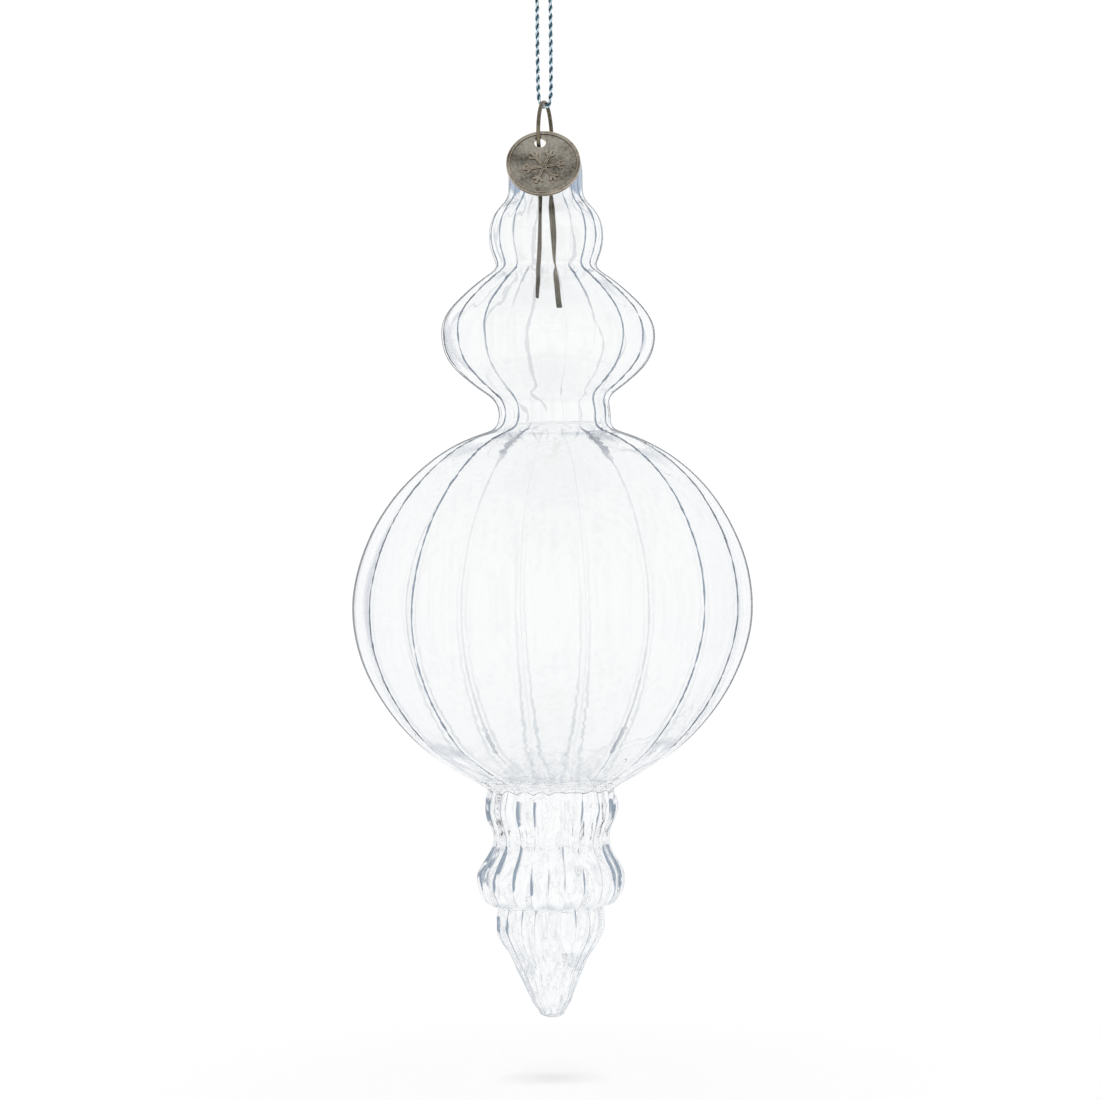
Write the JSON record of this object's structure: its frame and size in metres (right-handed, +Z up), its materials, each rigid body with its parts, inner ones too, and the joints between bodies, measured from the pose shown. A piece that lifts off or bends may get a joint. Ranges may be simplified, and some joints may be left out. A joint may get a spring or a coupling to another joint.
{
  "type": "icicle hanging ornament",
  "caption": "Clear fluted blown-glass finial ornament with a solid glass drop, hung by a sprung wire loop, with a round metal tag and a thin twisted cord.",
  "frame": {"origin": "underside of the hanging loop's top, where a hook or a twig carries the ornament", "axes": "+Z up along the glass's axis, +X to the right of a person who faces the tag, -Y towards that person"},
  "size_m": [0.08, 0.08, 0.2259],
  "materials": {
    "glass": "clear mouth-blown glass, softly fluted, polished",
    "thick_glass": "solid clear glass, tooled and wavy, cool grey-blue in its depth",
    "wire": "antique brass wire, dull",
    "tag_metal": "stamped tag with an antique pewter patina, brassy where it is rubbed",
    "cord": "twisted silver-blue metallic cord"
  },
  "bodies": {
    "cord": {"cord": "cord", "hanging_loop": "cord", "cord_knot": "cord"},
    "hanger": {"hanger_wire": "wire"},
    "tag": {"tag": "tag_metal"},
    "glass": {"glass_bulbs": "glass", "glass_drop": "thick_glass"}
  },
  "joints": [
    {"name": "ornament_swing", "type": "hinge", "parent": "cord", "child": "hanger", "pos_m": [0, 0, -0.04395], "axis": [1, 0, 0], "range_deg": [-60, 60]},
    {"name": "tag_swing", "type": "hinge", "parent": "hanger", "child": "tag", "pos_m": [-0.00128, -0.00659, -0.05205], "axis": [-0.9994, 0.0349, 0], "range_deg": [0, 70]},
    {"name": "glass_turn", "type": "hinge", "parent": "hanger", "child": "glass", "pos_m": [0, 0, -0.0581], "axis": [0, 0, 1], "continuous": true}
  ]
}
